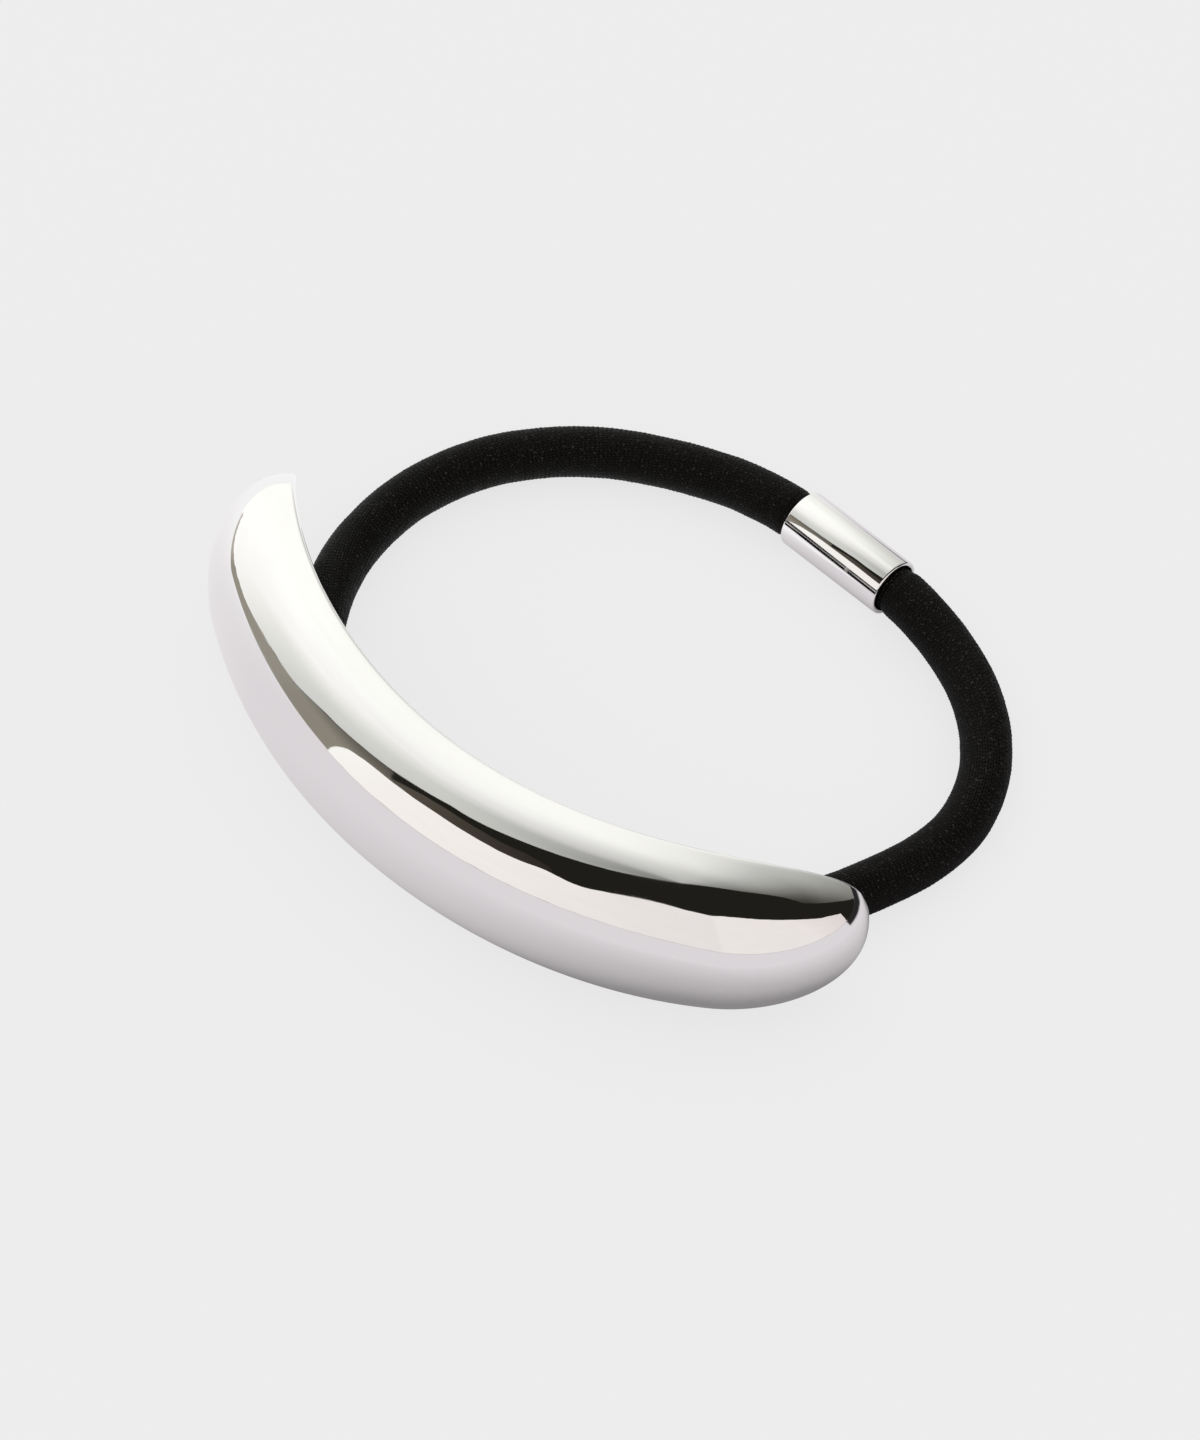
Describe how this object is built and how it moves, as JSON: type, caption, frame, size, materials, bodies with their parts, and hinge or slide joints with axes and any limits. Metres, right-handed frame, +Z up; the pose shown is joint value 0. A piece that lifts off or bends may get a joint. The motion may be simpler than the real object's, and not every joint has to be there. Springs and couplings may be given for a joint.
{
  "type": "hair tie",
  "caption": "Elastic hair tie with a hollow, domed, polished metal bar across its front, joined at the back by a metal crimp; it holds a ponytail.",
  "frame": {"origin": "on the surface that the tie lies on, below the middle of its outline", "axes": "+X along the bar, to the right of someone who looks at its front; +Y from the bar to the crimp; +Z up, along the ponytail that the loop holds"},
  "size_m": [0.0804, 0.0657, 0.0184],
  "materials": {
    "polished_metal": "mirror polished, silver coloured",
    "knitted_elastic": "fine knitted black yarn over rubber, with a soft sheen"
  },
  "bodies": {
    "root": {"bar": "polished_metal", "elastic": "knitted_elastic", "crimp": "polished_metal"}
  },
  "joints": []
}
